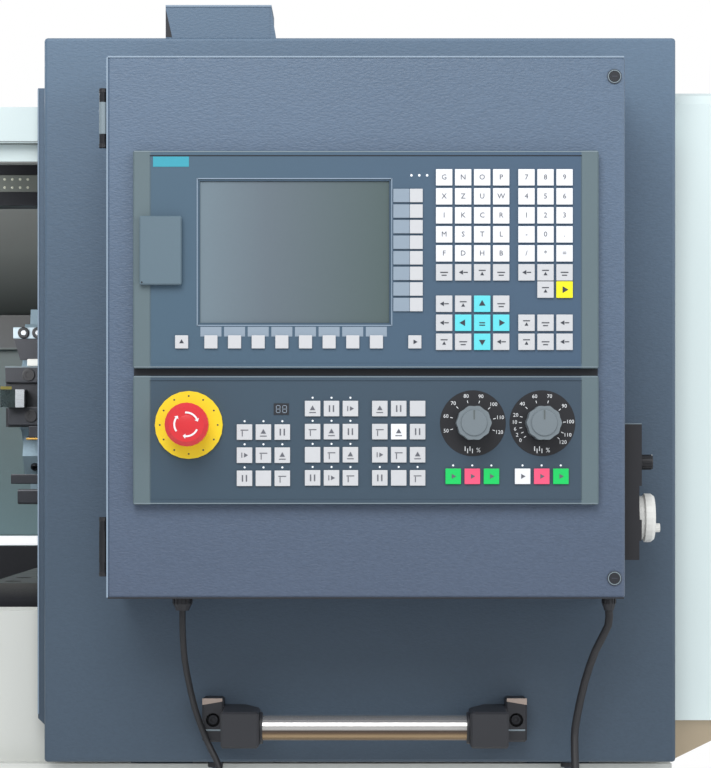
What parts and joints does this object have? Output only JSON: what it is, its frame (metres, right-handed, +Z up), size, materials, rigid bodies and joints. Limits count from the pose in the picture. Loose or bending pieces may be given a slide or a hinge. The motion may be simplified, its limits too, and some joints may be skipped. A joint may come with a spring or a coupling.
{
  "type": "cnc turning lathe",
  "caption": "Flat-bed turning lathe with a sliding front door that carries the operator control box, an indexing tool disc, a tailstock and a rear electrical cabinet.",
  "frame": {"origin": "middle of the outer box in X and Y, at floor level under the feet", "axes": "+Z up, +X along the spindle from headstock to tailstock, the operator stands at -Y"},
  "size_m": [1.95, 1.245, 1.5626],
  "materials": {
    "pale_paint": "satin powder coat, pale grey-cyan",
    "blue_grey_paint": "fine wrinkle powder coat, dark blue-grey",
    "base_paint": "satin powder coat",
    "cast_iron": "machined and painted castings",
    "ground_steel": "ground",
    "dark_steel": "blackened steel",
    "polished_steel": "polished tube",
    "black_plastic": "moulded, satin",
    "panel_foil": "foil over a moulded front",
    "screen_glass_grey": "switched-off screen, opaque",
    "knob_grey": "moulded, fluted",
    "stop_yellow": "printed disc",
    "stop_red": "moulded mushroom head",
    "white_plastic": "moulded",
    "turret_blue": "light blue steel",
    "cable_black": "flexible jacket",
    "cabinet_grey": "powder coat"
  },
  "bodies": {
    "machine_frame": {"base_cabinet": "base_paint", "chip_tray": "base_paint", "bed": "cast_iron", "headstock_cover": "pale_paint", "tail_guard": "pale_paint", "roof_guard": "pale_paint", "front_apron": "pale_paint", "top_rail": "pale_paint", "lower_guide": "pale_paint", "work_lamp": "dark_steel", "headstock": "cast_iron", "spindle_motor": "blue_grey_paint", "z_servo_motor": "dark_steel", "electrical_cabinet": "cabinet_grey"},
    "main_spindle": {"spindle": "ground_steel", "chuck_body": "ground_steel"},
    "jaw_one": {"chuck_jaw_1": "dark_steel"},
    "jaw_two": {"chuck_jaw_2": "dark_steel"},
    "jaw_three": {"chuck_jaw_3": "dark_steel"},
    "carriage": {"saddle": "dark_steel"},
    "feed_screw": {"ball_screw": "ground_steel"},
    "cross_carriage": {"cross_slide": "ground_steel", "turret_housing": "pale_paint"},
    "turret": {"turret_disc": "turret_blue", "tool_block": "dark_steel", "turning_tool": "ground_steel"},
    "tailstock": {"tailstock": "pale_paint", "quill_cylinder": "dark_steel"},
    "quill": {"tailstock_quill": "polished_steel"},
    "centre": {"live_centre": "ground_steel"},
    "cabinet_door": {"cabinet_door": "cabinet_grey"},
    "cabinet_catch": {"cabinet_catch": "black_plastic"},
    "sliding_door": {"door_panel": "blue_grey_paint", "switch_cover": "blue_grey_paint", "handle_bracket_left": "black_plastic", "handle_bracket_right": "black_plastic", "handle_tube": "polished_steel", "control_box": "blue_grey_paint", "hinge_upper": "dark_steel", "hinge_lower": "dark_steel", "gland_left": "black_plastic", "gland_right": "black_plastic", "side_knob": "white_plastic", "hand_pulse_unit": "black_plastic", "cable_left": "cable_black", "cable_right": "cable_black"},
    "control_plate": {"control_front_plate": "blue_grey_paint", "screen_unit": "panel_foil", "screen_glass": "screen_glass_grey", "machine_panel": "panel_foil", "stop_ring": "stop_yellow"},
    "data_flap": {"usb_flap": "panel_foil"},
    "stop": {"stop_button": "stop_red"},
    "feed_dial": {"feed_knob": "knob_grey"},
    "speed_dial": {"speed_knob": "knob_grey"},
    "upper_lock": {"lock_upper": "black_plastic"},
    "lower_lock": {"lock_lower": "black_plastic"},
    "pulse_wheel": {"handwheel": "white_plastic"},
    "crank": {"crank_knob": "white_plastic"},
    "axis_selector": {"selector_knob": "black_plastic"}
  },
  "joints": [
    {"name": "door_slide", "type": "slide", "parent": "machine_frame", "child": "sliding_door", "axis": [1, 0, 0], "range_m": [-0.5786, 0]},
    {"name": "plate_hinge", "type": "hinge", "parent": "sliding_door", "child": "control_plate", "pos_m": [0.35485, -0.5742, 1], "axis": [0, 0, 1], "range_deg": [-110, 0]},
    {"name": "flap_hinge", "type": "hinge", "parent": "control_plate", "child": "data_flap", "pos_m": [0.38975, -0.5938, 1.3], "axis": [0, 0, 1], "range_deg": [-110, 0]},
    {"name": "stop_press", "type": "slide", "parent": "control_plate", "child": "stop", "axis": [0, 1, 0], "range_m": [0, 0.005]},
    {"name": "feed_turn", "type": "hinge", "parent": "control_plate", "child": "feed_dial", "pos_m": [0.75395, -0.5867, 1.1578], "axis": [0, 1, 0], "range_deg": [-135, 135]},
    {"name": "speed_turn", "type": "hinge", "parent": "control_plate", "child": "speed_dial", "pos_m": [0.69105, -0.5867, 1.1578], "axis": [0, 1, 0], "range_deg": [-135, 135]},
    {"name": "upper_lock_turn", "type": "hinge", "parent": "control_plate", "child": "upper_lock", "pos_m": [0.82015, -0.5778, 1.4731], "axis": [0, 1, 0], "range_deg": [0, 90]},
    {"name": "lower_lock_turn", "type": "hinge", "parent": "control_plate", "child": "lower_lock", "pos_m": [0.82015, -0.5778, 1.017], "axis": [0, 1, 0], "range_deg": [0, 90]},
    {"name": "wheel_turn", "type": "hinge", "parent": "sliding_door", "child": "pulse_wheel", "pos_m": [0.8482, -0.5092, 1.0706], "axis": [1, 0, 0], "continuous": true},
    {"name": "crank_turn", "type": "hinge", "parent": "pulse_wheel", "child": "crank", "pos_m": [0.8636, -0.49771, 1.06096], "axis": [1, 0, 0], "continuous": true},
    {"name": "selector_turn", "type": "hinge", "parent": "sliding_door", "child": "axis_selector", "pos_m": [0.8482, -0.5092, 1.1226], "axis": [1, 0, 0], "range_deg": [-60, 60]},
    {"name": "spindle_turn", "type": "hinge", "parent": "machine_frame", "child": "main_spindle", "pos_m": [-0.26, -0.0675, 1.1946], "axis": [1, 0, 0], "continuous": true},
    {"name": "jaw_one_slide", "type": "slide", "parent": "main_spindle", "child": "jaw_one", "axis": [0, 0, 1], "range_m": [-0.009, 0.01]},
    {"name": "jaw_two_slide", "type": "slide", "parent": "main_spindle", "child": "jaw_two", "axis": [0, -0.866, -0.5], "range_m": [-0.009, 0.01]},
    {"name": "jaw_three_slide", "type": "slide", "parent": "main_spindle", "child": "jaw_three", "axis": [0, 0.866, -0.5], "range_m": [-0.009, 0.01]},
    {"name": "carriage_travel", "type": "slide", "parent": "machine_frame", "child": "carriage", "axis": [1, 0, 0], "range_m": [-0.3, 0.02]},
    {"name": "screw_turn", "type": "hinge", "parent": "machine_frame", "child": "feed_screw", "pos_m": [-0.3, -0.2525, 0.8696], "axis": [1, 0, 0], "continuous": true},
    {"name": "cross_travel", "type": "slide", "parent": "carriage", "child": "cross_carriage", "axis": [0, 1, 0], "range_m": [-0.02, 0.06]},
    {"name": "turret_index", "type": "hinge", "parent": "cross_carriage", "child": "turret", "pos_m": [0.2, 0.0825, 1.1946], "axis": [1, 0, 0], "continuous": true},
    {"name": "tailstock_travel", "type": "slide", "parent": "machine_frame", "child": "tailstock", "axis": [1, 0, 0], "range_m": [0, 0.15]},
    {"name": "quill_travel", "type": "slide", "parent": "tailstock", "child": "quill", "axis": [-1, 0, 0], "range_m": [0, 0.06]},
    {"name": "centre_turn", "type": "hinge", "parent": "quill", "child": "centre", "pos_m": [0.46, -0.0675, 1.1946], "axis": [1, 0, 0], "continuous": true},
    {"name": "cabinet_hinge", "type": "hinge", "parent": "machine_frame", "child": "cabinet_door", "pos_m": [-0.455, 0.6225, 1], "axis": [0, 0, 1], "range_deg": [0, 110]},
    {"name": "catch_turn", "type": "hinge", "parent": "cabinet_door", "child": "cabinet_catch", "pos_m": [0.41, 0.6165, 1.14], "axis": [0, 1, 0], "range_deg": [0, 90]}
  ],
  "couplings": [
    {"joint": "jaw_two_slide", "follows": "jaw_one_slide", "ratio": 1},
    {"joint": "jaw_three_slide", "follows": "jaw_one_slide", "ratio": 1},
    {"joint": "screw_turn", "follows": "carriage_travel", "rad_per_m": 628.32}
  ]
}
